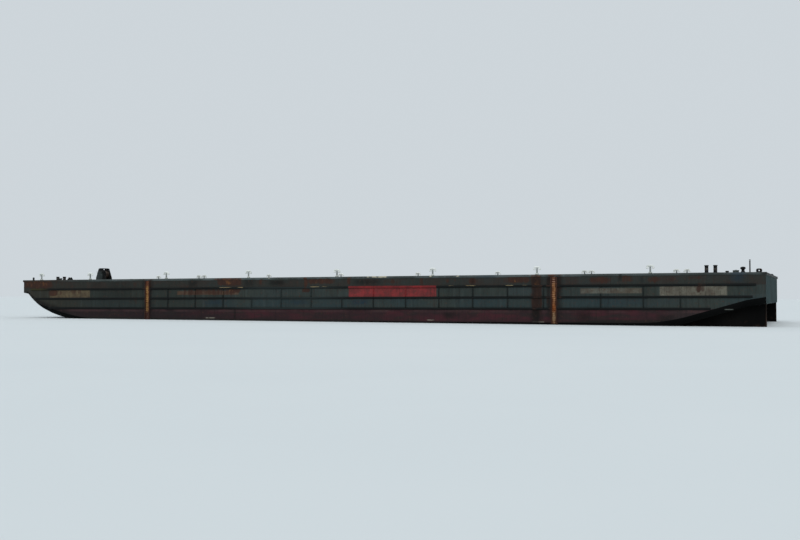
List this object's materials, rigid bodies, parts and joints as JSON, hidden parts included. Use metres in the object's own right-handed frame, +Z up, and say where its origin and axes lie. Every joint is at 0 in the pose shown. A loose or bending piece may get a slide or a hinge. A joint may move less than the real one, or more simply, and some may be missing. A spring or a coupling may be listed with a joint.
{
  "type": "flat-top cargo barge, 1:10 scale model",
  "caption": "Flat-deck steel cargo barge with raked ends, side rubbing bars, ladders, air pipes, bitts, corner chocks, deck hatches, a bow winch, a capstan and skegs.",
  "frame": {"origin": "on the flat keel, midway between the bow and stern ends and between the sides", "axes": "+X towards the bow, +Y to port, +Z up"},
  "size_m": [12.216, 3.694, 1.016],
  "materials": {
    "hull_paint": "weathered grey-green paint with rust runs",
    "antifouling": "faded dark-red bottom paint",
    "gunwale_paint": "scuffed light grey paint",
    "fender_paint": "scraped dark paint",
    "rusted_steel": "orange rust",
    "white_paint": "weathered white paint",
    "black_paint": "worn black paint",
    "hatch_paint": "weathered grey paint",
    "bare_steel": "worn steel with brown rust"
  },
  "bodies": {
    "barge": {"hull": "hull_paint", "skeg_port": "antifouling", "skeg_starboard": "antifouling", "gunwale_port": "gunwale_paint", "gunwale_starboard": "gunwale_paint", "gunwale_bow": "gunwale_paint", "gunwale_stern": "gunwale_paint", "rubbing_bar_port_upper": "fender_paint", "rubbing_bar_port_middle": "fender_paint", "rubbing_bar_port_lower": "fender_paint", "rubbing_bar_starboard_upper": "fender_paint", "rubbing_bar_starboard_middle": "fender_paint", "rubbing_bar_starboard_lower": "fender_paint", "ladder_port_forward": "rusted_steel", "ladder_port_aft": "rusted_steel", "ladder_starboard_forward": "rusted_steel", "ladder_starboard_aft": "rusted_steel", "air_pipe_port_1": "white_paint", "air_pipe_port_2": "white_paint", "air_pipe_port_3": "white_paint", "air_pipe_port_4": "white_paint", "air_pipe_port_5": "white_paint", "air_pipe_port_6": "white_paint", "air_pipe_port_7": "white_paint", "air_pipe_port_8": "white_paint", "air_pipe_starboard_1": "white_paint", "air_pipe_starboard_2": "white_paint", "air_pipe_starboard_3": "white_paint", "air_pipe_starboard_4": "white_paint", "air_pipe_starboard_5": "white_paint", "air_pipe_starboard_6": "white_paint", "air_pipe_starboard_7": "white_paint", "air_pipe_starboard_8": "white_paint", "air_pipe_starboard_9": "white_paint", "air_pipe_starboard_10": "white_paint", "air_pipe_starboard_11": "white_paint", "bitts_port_forward": "black_paint", "bitts_port_aft": "black_paint", "bitts_starboard_forward": "black_paint", "bitts_starboard_aft": "black_paint", "chock_port_forward": "black_paint", "chock_port_aft": "black_paint", "chock_starboard_forward": "black_paint", "chock_starboard_aft": "black_paint", "tow_bracket_port": "black_paint", "tow_bracket_starboard": "black_paint", "hatch_port_forward": "hatch_paint", "hatch_port_aft": "hatch_paint", "hatch_starboard_forward": "hatch_paint", "hatch_starboard_aft": "hatch_paint", "capstan_base": "black_paint", "winch_frame": "black_paint", "light_pole": "black_paint"},
    "lid_port_forward": {"hatch_lid_port_forward": "hatch_paint"},
    "lid_port_aft": {"hatch_lid_port_aft": "hatch_paint"},
    "lid_starboard_forward": {"hatch_lid_starboard_forward": "hatch_paint"},
    "lid_starboard_aft": {"hatch_lid_starboard_aft": "hatch_paint"},
    "capstan": {"capstan_drum": "black_paint"},
    "winch": {"winch_drum": "bare_steel"}
  },
  "joints": [
    {"name": "lid_port_forward_hinge", "type": "hinge", "parent": "barge", "child": "lid_port_forward", "pos_m": [5.695, 1.357, 0.7963], "axis": [1, 0, 0], "range_deg": [0, 110]},
    {"name": "lid_port_aft_hinge", "type": "hinge", "parent": "barge", "child": "lid_port_aft", "pos_m": [-5.695, 1.357, 0.7963], "axis": [1, 0, 0], "range_deg": [0, 110]},
    {"name": "lid_starboard_forward_hinge", "type": "hinge", "parent": "barge", "child": "lid_starboard_forward", "pos_m": [5.695, -1.357, 0.7963], "axis": [-1, 0, 0], "range_deg": [0, 110]},
    {"name": "lid_starboard_aft_hinge", "type": "hinge", "parent": "barge", "child": "lid_starboard_aft", "pos_m": [-5.695, -1.357, 0.7963], "axis": [-1, 0, 0], "range_deg": [0, 110]},
    {"name": "capstan_spin", "type": "hinge", "parent": "barge", "child": "capstan", "pos_m": [-5.745, 0.8, 0.8], "axis": [0, 0, 1], "continuous": true},
    {"name": "winch_drum_spin", "type": "hinge", "parent": "barge", "child": "winch", "pos_m": [5.82, 0, 0.897], "axis": [0, 1, 0], "continuous": true}
  ]
}
